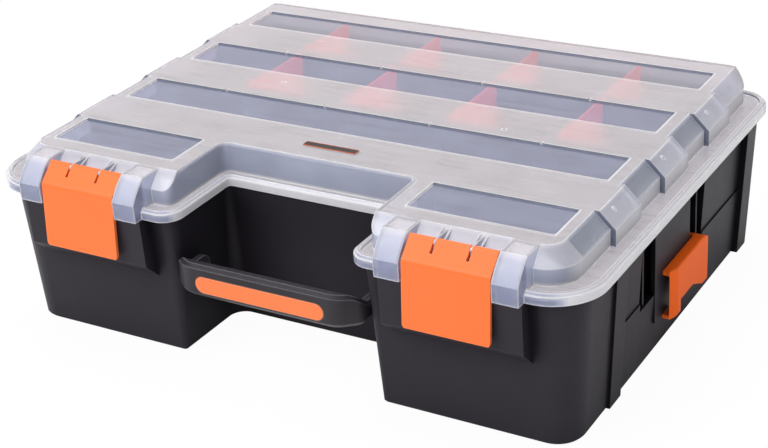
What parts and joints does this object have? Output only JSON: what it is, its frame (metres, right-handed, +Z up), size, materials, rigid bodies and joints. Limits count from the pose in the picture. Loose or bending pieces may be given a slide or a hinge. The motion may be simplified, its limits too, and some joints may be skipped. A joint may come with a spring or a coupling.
{
  "type": "workshop organizer case",
  "caption": "Flat carrying case for small parts: drafted tub with a bay and swinging grip, hinged lid with clear panes, latches, side clips and loose dividers.",
  "frame": {"origin": "centre of the whole case's footprint, on the surface it stands on", "axes": "+X to the right seen from the latch side, +Y from the latches to the hinge, +Z up"},
  "size_m": [0.39, 0.3072, 0.1142],
  "materials": {
    "black_plastic": "fine moulded texture, satin",
    "frosted_plastic": "frosted translucent, panes polished clear",
    "orange_plastic": "satin moulded",
    "clip_plastic": "satin moulded",
    "divider_plastic": "satin moulded",
    "badge_plastic": "satin",
    "pin_steel": "drawn wire"
  },
  "bodies": {
    "tub": {"base_tub": "black_plastic", "row_partition_1": "black_plastic", "row_partition_2": "black_plastic", "row_partition_3": "black_plastic", "bay_partition_left": "black_plastic", "bay_partition_right": "black_plastic", "hinge_pin_left": "pin_steel", "hinge_pin_right": "pin_steel", "divider_row1_1": "divider_plastic", "divider_row1_2": "divider_plastic", "divider_row1_3": "divider_plastic", "divider_row1_4": "divider_plastic", "divider_row2_1": "divider_plastic", "divider_row2_2": "divider_plastic", "divider_row2_3": "divider_plastic", "divider_row2_4": "divider_plastic"},
    "lid": {"lid": "frosted_plastic", "lid_badge": "badge_plastic"},
    "latch_left": {"latch_left": "orange_plastic"},
    "latch_right": {"latch_right": "orange_plastic"},
    "handle": {"handle_grip": "black_plastic", "handle_inlay": "orange_plastic"},
    "clip_left": {"side_clip_left": "clip_plastic"},
    "clip_right": {"side_clip_right": "clip_plastic"}
  },
  "joints": [
    {"name": "lid_hinge", "type": "hinge", "parent": "tub", "child": "lid", "pos_m": [0, 0.14965, 0.089], "axis": [-1, 0, 0], "range_deg": [0, 110]},
    {"name": "latch_left_hinge", "type": "hinge", "parent": "lid", "child": "latch_left", "pos_m": [-0.1199, -0.13945, 0.1106], "axis": [-1, 0, 0], "range_deg": [0, 100]},
    {"name": "latch_right_hinge", "type": "hinge", "parent": "lid", "child": "latch_right", "pos_m": [0.1199, -0.13945, 0.1106], "axis": [-1, 0, 0], "range_deg": [0, 100]},
    {"name": "handle_swing", "type": "hinge", "parent": "tub", "child": "handle", "pos_m": [0, -0.12365, 0.054], "axis": [-1, 0, 0], "range_deg": [0, 90]},
    {"name": "clip_left_slide", "type": "slide", "parent": "tub", "child": "clip_left", "axis": [0, 0, 1], "range_m": [0, 0.024]},
    {"name": "clip_right_slide", "type": "slide", "parent": "tub", "child": "clip_right", "axis": [0, 0, 1], "range_m": [0, 0.024]}
  ]
}
